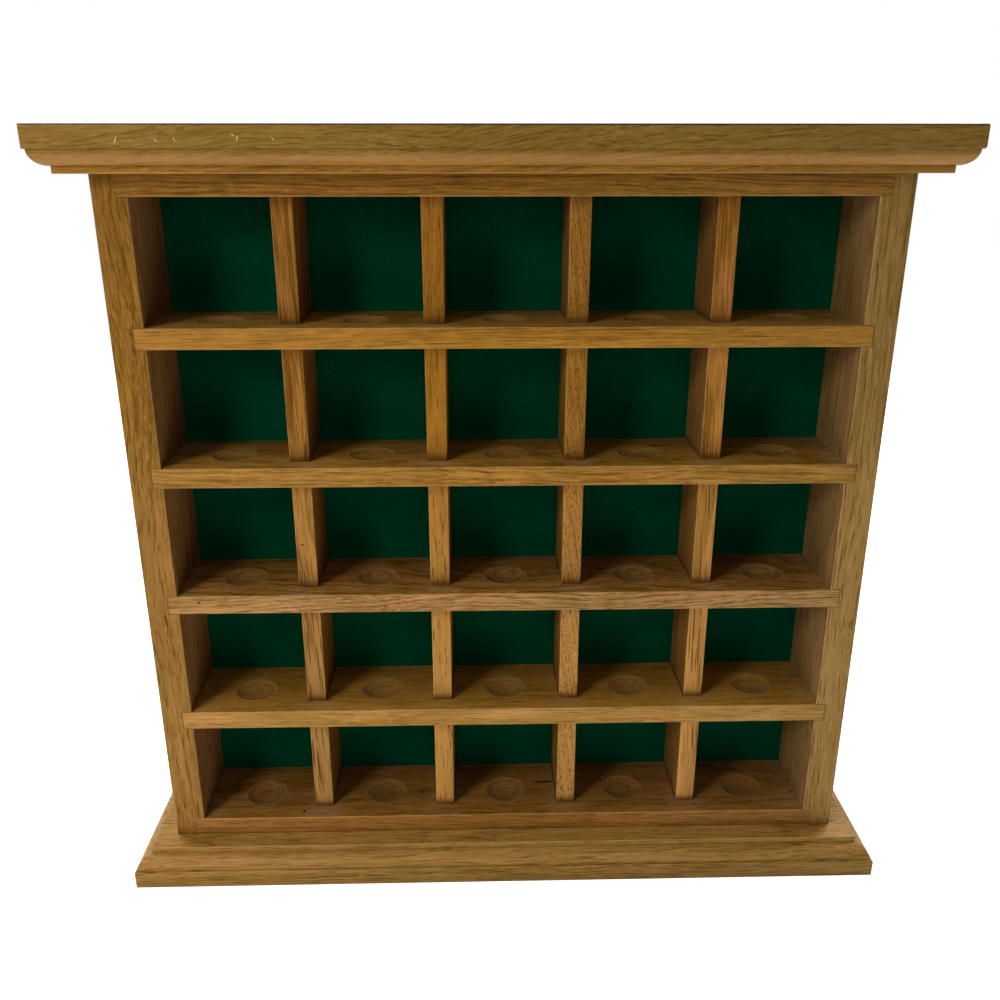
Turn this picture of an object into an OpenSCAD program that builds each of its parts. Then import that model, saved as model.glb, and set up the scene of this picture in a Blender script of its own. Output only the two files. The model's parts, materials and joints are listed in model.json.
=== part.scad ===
// Golf ball display case in solid oak, free-standing, with an open front.
// Front is -Y, up is +Z, and the origin is the middle of the footprint, on the underside.
// Shelves run right through into housings in the sides. Dividers are one piece from
// bottom to top and cross every shelf in a half lap: the shelf is slotted from its back
// edge, the divider is notched from its front edge, and each fills the other's cut.

/* [Compartments] */
// Clear width of each middle compartment
cell_w = 55; // [50:0.5:70]
// Clear width of the compartments beside the two sides
end_cell_w = 57; // [50:0.5:70]
// Clear height of every compartment
cell_h = 55; // [50:0.5:70]
// Diameter of the rim of a ball seat
seat_d = 21; // [14:0.5:28]
// Radius of the round bottom of a ball seat
seat_r = 22; // [16:0.5:40]
// Distance from a shelf's front edge to the middle of its ball seats
seat_y = 21.5; // [16:0.5:26]

/* [Boards] */
// Thickness of the shelves and of the top and bottom panels
board_t = 9.5; // [8:0.5:14]
// Depth of the shelves, from their front edge to the felt
shelf_d = 44.5; // [43:0.5:60]
// Thickness of the dividers
divider_t = 9.5; // [8:0.5:14]
// How far the divider fronts stand behind the shelf fronts
divider_setback = 9.5; // [3:0.5:14]
// Thickness of the two sides
side_t = 15; // [12:0.5:20]
// Radius that eases the front edges of the boards
edge_ease = 0.6; // [0.2:0.1:1]

/* [Back] */
// Thickness of the felt lining
felt_t = 1; // [0.5:0.25:2]
// Thickness of the back panel
back_t = 5.5; // [3:0.5:9]
// Width of the rabbet in each side that takes the lined back panel
rabbet_w = 8; // [6:0.5:10]

/* [Joints] */
// Depth of the housings in the sides
housing_d = 5; // [3:0.5:6]
// Play of a shelf in its housing, above it and at its end
housing_play = 0.1; // [0:0.05:0.3]
// Play of a divider in a shelf slot, on each side of it
slot_play = 0.3; // [0.1:0.05:0.5]
// Play of a shelf in a divider notch, above, below and behind it
notch_play = 0.2; // [0.1:0.05:0.5]
// Play of the lined back panel at each side rabbet
back_play = 0.2; // [0:0.05:0.5]

/* [Moulded base and top boards] */
// Height of the square outer edge of a moulded board
edge_h = 9.5; // [7:0.5:14]
// Width of the small flat step between the square edge and the ovolo
quirk_w = 1.3; // [1:0.1:3]
// Radius of the ovolo
ovolo_r = 6.5; // [3:0.5:7]
// Height of the fillet between the ovolo and the face that meets the case
fillet_h = 3; // [1:0.5:5]
// Flat shelf between the case and the fillet
shoulder_w = 10.5; // [5:0.5:20]
// Radius that eases the square edge and the front corners of a moulded board
mould_ease = 0.9; // [0.3:0.1:1]

/* [Fasteners] */
// Outer diameter of the wood screws
screw_d = 4.2; // [3.5:0.1:5]
// Diameter of the countersunk screw heads
screw_head_d = 8.2; // [7:0.1:9]
// Length of the screws that hold the base to the sides
base_screw_l = 35; // [28:1:45]
// Length of the screws that hold the top board to the top panel
top_screw_l = 22; // [16:1:24]
// Distance from the base screws to the case front and to the felt
screw_inset = 12; // [8:1:18]
// Depth of a screw head below the wood around it
head_sink = 0.4; // [0.2:0.1:1]
// Diameter of the panel pins that hold the back
pin_d = 1.2; // [1:0.1:2]
// Diameter of the heads of the panel pins
pin_head_d = 2.4; // [2:0.1:4]
// Length of the panel pins
pin_l = 15; // [12:1:25]
// Radial play of a screw or pin in its hole
fastener_play = 0.1; // [0.05:0.05:0.3]

/* [Hidden] */
$fn = 64;
columns = 5;
rows = 5;

// Cuts pass this far beyond the faces that they open.
over = 1;

// Moulded boards
mould_t = edge_h + ovolo_r + fillet_h;
overhang = shoulder_w + ovolo_r + quirk_w;

// Widths, from the middle outwards
divider_pitch = cell_w + divider_t;
inner_w = (columns - 2) * cell_w + 2 * end_cell_w + (columns - 1) * divider_t;
case_w = inner_w + 2 * side_t;
mould_w = case_w + 2 * overhang;
shelf_l = inner_w + 2 * (housing_d - housing_play);
back_w = inner_w + 2 * (rabbet_w - back_play);

// Depths, with the whole object centred on y = 0
side_d = shelf_d + felt_t + back_t;
mould_d = side_d + overhang;
back_y = mould_d / 2;
case_front_y = back_y - side_d;
felt_y = case_front_y + shelf_d;
divider_front_y = case_front_y + divider_setback;
lap_y = (divider_front_y + felt_y) / 2;

// Heights, from the underside of the base upwards
shelf_pitch = cell_h + board_t;
case_bottom_z = mould_t;
case_h = rows * shelf_pitch + board_t;
case_top_z = case_bottom_z + case_h;
slot_w = divider_t + 2 * slot_play;

// Underside of a shelf or panel: level 0 is the bottom panel and level rows the top panel.
function level_z(level) = case_bottom_z + level * shelf_pitch;
function divider_x(i) = (i - columns / 2) * divider_pitch;
function is_end(c) = c == 1 || c == columns;
function end_cell_x(c) = sign(c - 2) * (inner_w - end_cell_w) / 2;
function cell_x(c) = is_end(c) ? end_cell_x(c) : (c - (columns + 1) / 2) * divider_pitch;

// Screw places: in the thin part of each side that is left outside the panel's rabbet,
// and in the top panel over every compartment of the top row but the middle one
base_screw_x = case_w / 2 - (side_t - housing_d) / 2;
base_screw_ys = [case_front_y + screw_inset, felt_y - screw_inset];
top_screw_columns = [1, 2, columns - 1, columns];
top_screw_y = (case_front_y + felt_y) / 2;
screw_head_h = (screw_head_d - screw_d) / 2;
screw_tip_h = 5;
screw_rim_h = 0.5;

// Pin places: one beside every row in each side, three along each panel
pin_x = inner_w / 2 + rabbet_w / 2;
pin_columns = [1, (columns + 1) / 2, columns];
pin_head_h = 0.7;
pin_tip_h = 1.5;

oak_light = [0.68, 0.50, 0.30];
oak_warm = [0.62, 0.42, 0.20];
oak_olive = [0.55, 0.43, 0.25];
ply = [0.72, 0.58, 0.40];
felt_green = [0.02, 0.22, 0.12];
steel = [0.70, 0.68, 0.62];

// A board's section with its two front corners eased: front at y = 0, depth d along +Y.
module eased_section(t, d, r) {
    hull_w = t - 2 * r;
    translate([r, 0]) square([hull_w, d]);
    translate([0, r]) square([t, d - r]);
    for (x = [r, t - r]) translate([x, r]) circle(r = r);
}

// A board lying flat, l long in X, with its front edge at the case front
module flat_board(l) {
    translate([-l / 2, case_front_y, board_t])
        rotate([0, 90, 0])
            linear_extrude(l) eased_section(board_t, shelf_d, edge_ease);
}

// Round-bottomed seats, one in the middle of each compartment
module seat_cuts() {
    seat_rise = sqrt(seat_r * seat_r - seat_d * seat_d / 4);
    for (c = [1 : columns])
        translate([cell_x(c), case_front_y + seat_y, board_t + seat_rise]) sphere(r = seat_r);
}

// Slots for the dividers, open at the back edge of a shelf or panel
module divider_slots() {
    for (i = [1 : columns - 1])
        translate([divider_x(i) - slot_w / 2, lap_y, -over])
            cube([slot_w, felt_y - lap_y + over, board_t + 2 * over]);
}

module slotted_board() {
    difference() {
        flat_board(shelf_l);
        divider_slots();
    }
}

module seated_board() {
    difference() {
        slotted_board();
        seat_cuts();
    }
}

module shelf(i) {
    color(oak_warm) translate([0, 0, level_z(rows - i)]) seated_board();
}

module bottom_panel() {
    color(oak_warm) difference() {
        translate([0, 0, level_z(0)]) seated_board();
        panel_pin_holes(0);
    }
}

module top_panel() {
    color(oak_warm) difference() {
        translate([0, 0, level_z(rows)]) slotted_board();
        panel_pin_holes(rows);
        top_screw_holes();
    }
}

// A divider stands on the base and reaches the top board. Every shelf and both panels
// pass through its front half.
module divider(i) {
    notch_h = board_t + 2 * notch_play;
    color(oak_warm) difference() {
        translate([divider_x(i) - divider_t / 2, divider_front_y, case_bottom_z])
            linear_extrude(case_h) eased_section(divider_t, felt_y - divider_front_y, edge_ease);
        for (level = [0 : rows])
            translate([divider_x(i), divider_front_y - over, level_z(level) - notch_play])
                translate([-divider_t / 2 - over, 0, 0])
                    cube([divider_t + 2 * over, lap_y + notch_play - divider_front_y + over, notch_h]);
    }
}

// The right side. Housings for the shelves and rabbets for the two panels are open to
// the front and run back to the rabbet that takes the back panel.
module right_side_board() {
    inner_x = inner_w / 2;
    housing_top = board_t + housing_play;
    difference() {
        translate([inner_x, case_front_y, case_bottom_z])
            linear_extrude(case_h) eased_section(side_t, side_d, edge_ease);
        for (level = [1 : rows - 1])
            translate([inner_x - over, case_front_y - over, level_z(level)])
                cube([housing_d + over, shelf_d + 2 * over, housing_top]);
        translate([inner_x - over, case_front_y - over, case_bottom_z - over])
            cube([housing_d + over, shelf_d + 2 * over, housing_top + over]);
        translate([inner_x - over, case_front_y - over, level_z(rows) - housing_play])
            cube([housing_d + over, shelf_d + 2 * over, housing_top + over]);
        translate([inner_x - over, felt_y, case_bottom_z - over])
            cube([rabbet_w + over, felt_t + back_t + over, case_h + 2 * over]);
        side_pin_holes();
        base_screw_holes();
    }
}

module right_side() {
    color(oak_olive) right_side_board();
}

module left_side() {
    color(oak_warm) mirror([1, 0, 0]) right_side_board();
}

// Section of a moulded board, wide face down, between x = x0 and x = x1. The right-hand
// edge carries the moulding, and so does the left-hand edge when both is true.
module moulded_section(x0, x1, both) {
    step = quirk_w + ovolo_r;
    left_step = both ? step : 0;
    left_ease = both ? mould_ease : 0;
    translate([x0 + left_ease, 0]) square([x1 - x0 - left_ease - mould_ease, edge_h]);
    translate([x0, left_ease]) square([x1 - x0 - mould_ease, edge_h - 2 * left_ease]);
    translate([x0, mould_ease]) square([x1 - x0, edge_h - 2 * mould_ease]);
    translate([x0 + left_step, 0]) square([x1 - x0 - left_step - step, mould_t]);
    for (z = [mould_ease, edge_h - mould_ease]) {
        translate([x1 - mould_ease, z]) circle(r = mould_ease);
        if (both) translate([x0 + mould_ease, z]) circle(r = mould_ease);
    }
    translate([x1 - step, edge_h]) circle(r = ovolo_r);
    if (both) translate([x0 + step, edge_h]) circle(r = ovolo_r);
}

// A moulded board with its wide face down: moulded on the front and both ends, where the
// sections meet in mitres, and square at the back.
module moulded_board() {
    intersection() {
        translate([0, back_y, 0]) rotate([90, 0, 0])
            linear_extrude(mould_d) moulded_section(-mould_w / 2, mould_w / 2, true);
        translate([-mould_w / 2, 0, 0]) rotate([90, 0, 90])
            linear_extrude(mould_w) mirror([1, 0]) moulded_section(-back_y, back_y, false);
        translate([-mould_w / 2, -back_y, 0])
            linear_extrude(mould_t) plan_outline();
    }
}

// Plan of a moulded board, with its two front corners eased
module plan_outline() {
    translate([mould_ease, 0]) square([mould_w - 2 * mould_ease, mould_d]);
    translate([0, mould_ease]) square([mould_w, mould_d - mould_ease]);
    for (x = [mould_ease, mould_w - mould_ease])
        translate([x, mould_ease]) circle(r = mould_ease);
}

module base_board() {
    color(oak_light) difference() {
        moulded_board();
        base_screw_holes();
    }
}

module top_board() {
    color(oak_warm) difference() {
        translate([0, 0, case_top_z + mould_t]) mirror([0, 0, 1]) moulded_board();
        top_screw_holes();
    }
}

// The back panel and its felt fill the rabbets, from the base to the top board.
module back_sheet(y, t) {
    translate([-back_w / 2, y, case_bottom_z]) cube([back_w, t, case_h]);
}

module back_panel() {
    color(ply) difference() {
        back_sheet(felt_y + felt_t, back_t);
        all_pin_holes();
    }
}

module felt_lining() {
    color(felt_green) difference() {
        back_sheet(felt_y, felt_t);
        all_pin_holes();
    }
}

// A countersunk wood screw standing on its head, with a cross recess, enlarged by grow
module screw_body(l, grow) {
    head_r = screw_head_d / 2 + grow;
    shank_r = screw_d / 2 + grow;
    rotate_extrude()
        polygon([
            [0, 0],
            [head_r, 0],
            [head_r, screw_rim_h],
            [shank_r, screw_rim_h + screw_head_h],
            [shank_r, l - screw_tip_h],
            [0, l + grow]
        ]);
}

module wood_screw(l) {
    recess_l = screw_head_d * 0.55;
    recess_w = screw_d * 0.22;
    recess_h = screw_head_h;
    difference() {
        screw_body(l, 0);
        for (turn = [0, 90]) rotate([0, 0, turn])
            translate([-recess_l / 2, -recess_w / 2, -over]) cube([recess_l, recess_w, recess_h + over]);
    }
}

// The hole for a screw, with its countersink carried on out of the wood
module screw_hole(l) {
    screw_body(l, fastener_play);
    translate([0, 0, -head_sink - over])
        cylinder(h = head_sink + over + screw_rim_h, r = screw_head_d / 2 + fastener_play);
}

module at_base_screws(side_x) {
    for (y = base_screw_ys) translate([side_x, y, head_sink]) children();
}

module base_screw_holes() {
    for (side_x = [-base_screw_x, base_screw_x])
        at_base_screws(side_x) screw_hole(base_screw_l);
}

module at_top_screws() {
    for (c = top_screw_columns)
        translate([cell_x(c), top_screw_y, level_z(rows) + head_sink]) children();
}

module top_screw_holes() {
    at_top_screws() screw_hole(top_screw_l);
}

module base_screws() {
    color(steel) for (side_x = [-base_screw_x, base_screw_x])
        at_base_screws(side_x) wood_screw(base_screw_l);
}

module top_screws() {
    color(steel) at_top_screws() wood_screw(top_screw_l);
}

// A panel pin lying along -Y from its head, which is flush with the back panel
module pin_body(grow) {
    rotate([90, 0, 0]) rotate_extrude()
        polygon([
            [0, 0],
            [pin_head_d / 2 + grow, 0],
            [pin_head_d / 2 + grow, pin_head_h],
            [pin_d / 2 + grow, pin_head_h],
            [pin_d / 2 + grow, pin_l - pin_tip_h],
            [0, pin_l + grow]
        ]);
}

module at_side_pins(side_x) {
    for (row = [1 : rows])
        translate([side_x, back_y, level_z(row) - cell_h / 2]) children();
}

module at_panel_pins(level) {
    for (c = pin_columns)
        translate([cell_x(c), back_y, level_z(level) + board_t / 2]) children();
}

module side_pin_holes() {
    for (side_x = [-pin_x, pin_x]) at_side_pins(side_x) pin_body(fastener_play);
}

module panel_pin_holes(level) {
    at_panel_pins(level) pin_body(fastener_play);
}

module all_pin_holes() {
    side_pin_holes();
    for (level = [0, rows]) panel_pin_holes(level);
}

module back_pins() {
    color(steel) {
        for (side_x = [-pin_x, pin_x]) at_side_pins(side_x) pin_body(0);
        for (level = [0, rows]) at_panel_pins(level) pin_body(0);
    }
}

base_board();
top_board();
left_side();
right_side();
bottom_panel();
top_panel();
for (i = [1 : rows - 1])
    shelf(i);
for (i = [1 : columns - 1])
    divider(i);
back_panel();
felt_lining();
base_screws();
top_screws();
back_pins();
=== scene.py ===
# %% [markdown]
# # A display case for twenty-five golf balls
# The object is a free-standing case in varnished oak. Two sides, a top and a bottom
# panel make a box. Four shelves and four dividers cross inside it in half laps,
# moulded boards lie under and over it, and dark green felt lines the back.
#
# The boards come from the measured model, at their real size, and stay as they are.
# This lesson dresses them: it builds solid oak out of nodes, so that every face of a board
# shows the right cut through the same piece of wood. The felt is soft, so it gets a mesh
# of its own.

import json
import math

import bmesh
import bpy
from mathutils import Matrix, Vector


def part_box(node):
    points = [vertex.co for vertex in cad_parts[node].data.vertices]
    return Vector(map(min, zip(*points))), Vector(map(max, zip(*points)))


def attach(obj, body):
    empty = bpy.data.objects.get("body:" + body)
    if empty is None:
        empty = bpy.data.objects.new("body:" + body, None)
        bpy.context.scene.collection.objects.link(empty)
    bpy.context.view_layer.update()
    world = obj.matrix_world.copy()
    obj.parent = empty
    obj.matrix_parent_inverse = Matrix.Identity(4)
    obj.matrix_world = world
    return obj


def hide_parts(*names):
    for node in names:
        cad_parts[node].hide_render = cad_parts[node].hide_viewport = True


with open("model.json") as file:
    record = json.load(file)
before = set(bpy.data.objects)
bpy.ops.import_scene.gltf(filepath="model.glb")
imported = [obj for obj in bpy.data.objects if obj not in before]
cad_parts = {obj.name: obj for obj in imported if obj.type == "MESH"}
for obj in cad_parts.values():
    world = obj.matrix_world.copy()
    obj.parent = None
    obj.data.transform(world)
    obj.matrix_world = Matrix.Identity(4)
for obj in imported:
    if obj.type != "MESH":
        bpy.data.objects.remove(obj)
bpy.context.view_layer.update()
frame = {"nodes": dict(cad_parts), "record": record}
MM = 0.001


def box_mm(name):
    """The lowest and the highest corner of a piece of the model, in millimetres."""
    low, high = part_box(name)
    return low / MM, high / MM


print("boards and fittings:", len(frame["nodes"]))

# %% [markdown]
# ## The camera
# The photograph was taken by hand from just in front of the case, level with its top
# and looking down at it, so the case seems to narrow towards its base. A camera could be
# set by eye, but a place, a tilt and a lens that were worked out from the board edges
# repeat the view much more closely.

# %% Set the camera
EYE = Vector((-0.0137, -0.4495, 0.3643))
TILT_DOWN = math.radians(20.11)
TURN_RIGHT = math.radians(1.41)
LENS_MM = 35.52
SENSOR_MM = 36


def add_object(name, data):
    """Puts a mesh, a lamp or a camera in the scene."""
    made = bpy.data.objects.new(name, data)
    bpy.context.scene.collection.objects.link(made)
    return made


camera = add_object("camera", bpy.data.cameras.new("camera"))
bpy.context.scene.camera = camera
camera.location = EYE
camera.rotation_euler = (math.pi / 2 - TILT_DOWN, 0, -TURN_RIGHT)
camera.data.lens = LENS_MM
camera.data.sensor_width = SENSOR_MM
camera.data.clip_start = 10 * MM
bpy.context.scene.view_settings.view_transform = "Standard"
print("camera distance from the front, in mm:", round(-EYE.y / MM))

# %% [markdown]
# ## Small tools for node trees
# Nodes can be added one call each, or through short helpers. Helpers are used here,
# because then a material reads like a formula: each adds one node and gives back its
# output, and a socket takes either a plain value or another node's output.

# %% Helpers that add one node each
def put(socket, value):
    """Links the value to the socket if it is an output, and sets it otherwise."""
    if isinstance(value, bpy.types.NodeSocket):
        socket.id_data.links.new(value, socket)
    else:
        socket.default_value = value


def node(tree, kind, inputs=None, **settings):
    """Adds a node with its settings. inputs names sockets, by name or number."""
    made = tree.nodes.new("ShaderNode" + kind)
    for name, value in settings.items():
        setattr(made, name, value)
    for name, value in (inputs or {}).items():
        put(made.inputs[name], value)
    return made


def calc(tree, operation, *values):
    """One step of arithmetic."""
    return node(tree, "Math", dict(enumerate(values)), operation=operation).outputs[0]


def vector(tree, operation, *values, output=0):
    """One step of arithmetic with vectors."""
    made = node(tree, "VectorMath", dict(enumerate(values)), operation=operation)
    return made.outputs[output]


def split(tree, value):
    """The X, Y and Z of a vector."""
    return node(tree, "SeparateXYZ", {0: value}).outputs


def join(tree, x, y, z):
    """A vector from its X, Y and Z."""
    return node(tree, "CombineXYZ", {0: x, 1: y, 2: z}).outputs[0]


def step(tree, value, low, high, to_low=0.0, to_high=1.0):
    """A soft step from to_low to to_high, as the value goes from low to high."""
    sockets = {"Value": value, "From Min": low, "From Max": high,
               "To Min": to_low, "To Max": to_high}
    return node(tree, "MapRange", sockets, interpolation_type="SMOOTHSTEP").outputs[0]


def mix(tree, share, first, second, how="MIX"):
    """Mixes two colours."""
    made = node(tree, "Mix", {0: share, 6: first, 7: second}, data_type="RGBA", blend_type=how)
    return made.outputs[2]


# %% [markdown]
# A few steps come back so often that they get names too. Noise takes a scale for each
# axis, because nothing in wood is as long as it is wide.

# %% Helpers for common steps
def noise(tree, place, scale, detail=2.0, roughness=0.5, output="Fac"):
    """Noise that is stretched by a scale for each axis, in features per millimetre."""
    stretched = vector(tree, "MULTIPLY", place, scale)
    sockets = {"Vector": stretched, "Scale": 1.0, "Detail": detail, "Roughness": roughness}
    return node(tree, "TexNoise", sockets).outputs[output]


def least(tree, values):
    """The least of several values."""
    smallest = values[0]
    for value in values[1:]:
        smallest = calc(tree, "MINIMUM", smallest, value)
    return smallest


def lay(tree, mask, share, colour, tint):
    """Lays a share of the tint over the colour where the mask is 1."""
    return mix(tree, calc(tree, "MULTIPLY", mask, share), colour, tint)


def facing(tree):
    """The way the surface looks."""
    return node(tree, "NewGeometry").outputs["Normal"]


def relief(tree, height, strength, depth_mm):
    """The normal of a surface with fine relief."""
    sockets = {"Height": height, "Strength": strength, "Distance": depth_mm * MM}
    return node(tree, "Bump", sockets).outputs[0]


# %% [markdown]
# A node group is the way to use one effect in several materials, and its sockets are its
# handles. The first helper makes an empty group with such sockets, and the last one
# turns a colour as a screen shows it into the light that a shader works with.

# %% Helpers for node groups, and one for colours
SOCKET_KINDS = {"vector": "NodeSocketVector", "number": "NodeSocketFloat", "colour": "NodeSocketColor"}


def new_group(name, inputs, outputs):
    """An empty node group, with the outputs of its start and the inputs of its end."""
    tree = bpy.data.node_groups.new(name, "ShaderNodeTree")
    for title, kind in inputs.items():
        tree.interface.new_socket(title, in_out="INPUT", socket_type=SOCKET_KINDS[kind])
    for title, kind in outputs.items():
        tree.interface.new_socket(title, in_out="OUTPUT", socket_type=SOCKET_KINDS[kind])
    start = tree.nodes.new("NodeGroupInput")
    end = tree.nodes.new("NodeGroupOutput")
    return tree, start.outputs, end.inputs


def use(tree, group, inputs):
    """Places a node group and gives back its outputs."""
    return node(tree, "Group", inputs, node_tree=group).outputs


def paint(red, green, blue):
    """The light of a colour that a screen shows, from 0 to 255."""
    def light(value):
        share = value / 255
        return share / 12.92 if share <= 0.04045 else ((share + 0.055) / 1.055) ** 2.4
    return (light(red), light(green), light(blue), 1.0)


# %% [markdown]
# ## How oak grows
# A board is a cut through a trunk, so the surest way to wood that looks solid is a
# pattern in space, with no picture wrapped round it. All measures are in millimetres, X runs
# along the grain, and the line where Y and Z are 0 is the pith, the heart of the trunk.
#
# The distance from the pith, divided by the width of a ring, counts the rings. Noise
# that is stretched along the trunk bends them, so that they wander as real ones do.
# Early wood starts at once in a new ring and fades slowly into late wood.

# %% The group that bends the wood and counts its rings
HALF = (0.5, 0.5, 0.5)
SLOW_BENDS = (0.006, 0.014, 0.014)
QUICK_BENDS = (0.03, 0.06, 0.06)
QUICK_SHARE = (0.14, 0.14, 0.14)
UNEVEN_PER_MM = 0.13
UNEVEN_RINGS = 3.0
EARLY_STARTS = (0.0, 0.08)
EARLY_FADES = (0.16, 0.55)
TRUNK_RADIUS = 80.0

rings_group, given, out = new_group(
    "Growth rings",
    {"Wood": "vector", "Ring width": "number", "Wander": "number"},
    {"Bent": "vector", "Ray space": "vector", "Early": "number"},
)
slow = noise(rings_group, given["Wood"], SLOW_BENDS, 1.0, output="Color")
slow = vector(rings_group, "SUBTRACT", slow, HALF)
quick = noise(rings_group, given["Wood"], QUICK_BENDS, 1.0, output="Color")
quick = vector(rings_group, "SUBTRACT", quick, HALF)
sway = vector(rings_group, "ADD", slow, vector(rings_group, "MULTIPLY", quick, QUICK_SHARE))
amount = join(rings_group, 0.0, given["Wander"], given["Wander"])
bent = vector(rings_group, "ADD", given["Wood"], vector(rings_group, "MULTIPLY", sway, amount))
parts = split(rings_group, bent)
from_pith = join(rings_group, 0.0, parts["Y"], parts["Z"])
radius = vector(rings_group, "LENGTH", from_pith, output="Value")
slow_radius = calc(rings_group, "MULTIPLY", radius, UNEVEN_PER_MM)
uneven = node(rings_group, "TexNoise", {"W": slow_radius, "Scale": 1.0}, noise_dimensions="1D")
drift = calc(rings_group, "MULTIPLY", uneven.outputs["Fac"], UNEVEN_RINGS)
count = calc(rings_group, "ADD", calc(rings_group, "DIVIDE", radius, given["Ring width"]), drift)
phase = calc(rings_group, "FRACT", count)
spring = step(rings_group, phase, *EARLY_STARTS)
early = calc(rings_group, "MULTIPLY", spring, step(rings_group, phase, *EARLY_FADES, 1.0, 0.0))
angle = calc(rings_group, "ARCTAN2", parts["Z"], parts["Y"])
round_way = calc(rings_group, "MULTIPLY", angle, TRUNK_RADIUS)
put(out["Bent"], bent)
put(out["Ray space"], join(rings_group, parts["X"], round_way, radius))
put(out["Early"], early)
print("rings group:", len(rings_group.nodes), "nodes")

# %% [markdown]
# ## Pores
# Oak is ring-porous: each spring it grows a row of wide vessels, and a saw or a plane
# opens them as short dark grooves. In space a vessel is a long thin spindle along the
# grain. A Voronoi texture drops one point in each cell, and every place that is near a
# point is in a spindle, because the space is stretched along X first. The spindles are
# wider where the wood is early wood, so that the grooves crowd there. Stretched noise
# gives the small vessels of the late wood.

# %% The group that opens the pores
SPINDLES = (0.075, 1.35, 1.35)
SPINDLE_SIZES = (0.2, 0.36)
SPINDLE_EDGE = (0.75, 1.0)
SPINDLE_GROWTH = 0.06
FINE_PORES = (0.1, 1.8, 1.8)
FINE_EDGE = (0.62, 0.68)
FINE_DEPTH = 0.5
FINE_GROWTH = 0.03

pores_group, given, out = new_group(
    "Oak pores",
    {"Bent": "vector", "Stretch": "vector", "Early": "number", "Amount": "number"},
    {"Pores": "number"},
)
scaled = vector(pores_group, "MULTIPLY", given["Bent"], given["Stretch"])
cells = vector(pores_group, "MULTIPLY", scaled, SPINDLES)
nearest = node(pores_group, "TexVoronoi", {"Vector": cells, "Scale": 1.0}).outputs["Distance"]
size = step(pores_group, given["Early"], 0.0, 1.0, *SPINDLE_SIZES)
size = calc(pores_group, "MULTIPLY_ADD", given["Amount"], SPINDLE_GROWTH, size)
reach = calc(pores_group, "DIVIDE", nearest, size)
open_wide = step(pores_group, reach, *SPINDLE_EDGE, 1.0, 0.0)
fine = noise(pores_group, scaled, FINE_PORES, 1.0)
fine = calc(pores_group, "MULTIPLY_ADD", given["Amount"], FINE_GROWTH, fine)
open_fine = step(pores_group, fine, *FINE_EDGE, 0.0, FINE_DEPTH)
put(out["Pores"], calc(pores_group, "MAXIMUM", open_wide, open_fine))
print("pores group:", len(pores_group.nodes), "nodes")

# %% [markdown]
# ## Rays
# Oak also has rays: thin sheets that run from the pith to the bark. Cut across, as on a
# flat-sawn face, they are short spindles. Cut along, as on a quarter-sawn face, they are
# broad shining flakes. Because the pattern knows which way is out and which way is
# round, one stretched noise gives both.

# %% The group that shows the rays
RAY_SHEETS = (0.14, 1.1, 0.05)
RAY_EDGE = (0.62, 0.70)

rays_group, given, out = new_group("Oak rays", {"Ray space": "vector"}, {"Rays": "number"})
sheets = noise(rays_group, given["Ray space"], RAY_SHEETS, 1.0)
put(out["Rays"], step(rays_group, sheets, *RAY_EDGE))
print("rays group:", len(rays_group.nodes), "nodes")

# %% [markdown]
# ## Arrises and joints
# The edges of a handled board wear first: the stain is thinner there and the lacquer is
# rubbed, so an arris looks paler. A pointiness mask would need a dense mesh. A board is
# close to a box, so its arrises can be measured instead. Two of the three pairs of faces
# lie along the grain, and the arris between them is near where both distances are small.
# The third pair, the ends, is put out of reach. The ends of most boards are buried in a
# joint, which shows as a thin dark line.

# %% The group that measures how near an arris and an end are
OUT_OF_REACH = (1000, 1000, 1000)

arris_group, given, out = new_group(
    "Arris",
    {"Place": "vector", "Low corner": "vector", "High corner": "vector", "Grain": "vector"},
    {"Arris": "number", "End": "number"},
)
from_low = vector(arris_group, "SUBTRACT", given["Place"], given["Low corner"])
from_high = vector(arris_group, "SUBTRACT", given["High corner"], given["Place"])
nearest = vector(arris_group, "MINIMUM", from_low, from_high)
put(out["End"], vector(arris_group, "DOT_PRODUCT", nearest, given["Grain"], output="Value"))
far_ends = vector(arris_group, "MULTIPLY", given["Grain"], OUT_OF_REACH)
sides = split(arris_group, vector(arris_group, "ADD", nearest, far_ends))
smaller = calc(arris_group, "MINIMUM", sides[0], sides[1])
larger = calc(arris_group, "MAXIMUM", sides[0], sides[1])
put(out["Arris"], calc(arris_group, "MAXIMUM", smaller, calc(arris_group, "MINIMUM", larger, sides[2])))
print("arris group:", len(arris_group.nodes), "nodes")

# %% [markdown]
# ## Mouldings
# The edge of a moulded board has the same profile at the front and at both ends: a flat,
# a small step back, a quarter round and another step. So its places can be measured as a
# depth from the nearest edge and a height from the flat side of the board. The last
# corner is rubbed pale, the round is paler, partly from wear and partly as painted light,
# and the two inner corners get painted shade. The last step has a mask of its own, for a
# painted warm light there.

# %% The group that finds the places of the moulding
FACE_H = 9.5
STEP_IN = 1.3
ROUND_R = 6.5
BOARD_T = box_mm("base_board")[1].z
FIRST_CORNER = (STEP_IN, FACE_H, 0)
SECOND_CORNER = (STEP_IN + ROUND_R, FACE_H + ROUND_R, 0)
LAST_CORNER = (STEP_IN + ROUND_R, BOARD_T, 0)
RUBBED_REACH = (0.2, 0.8)
CORNER_SHADE_REACH = (0.25, 1.0)
ROUND_STARTS = (FACE_H + 0.5, FACE_H + 3.5)
ROUND_ENDS = (FACE_H + 5.5, FACE_H + 6.5)
LAST_STEP_STARTS = (FACE_H + 4.5, FACE_H + ROUND_R)

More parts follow.
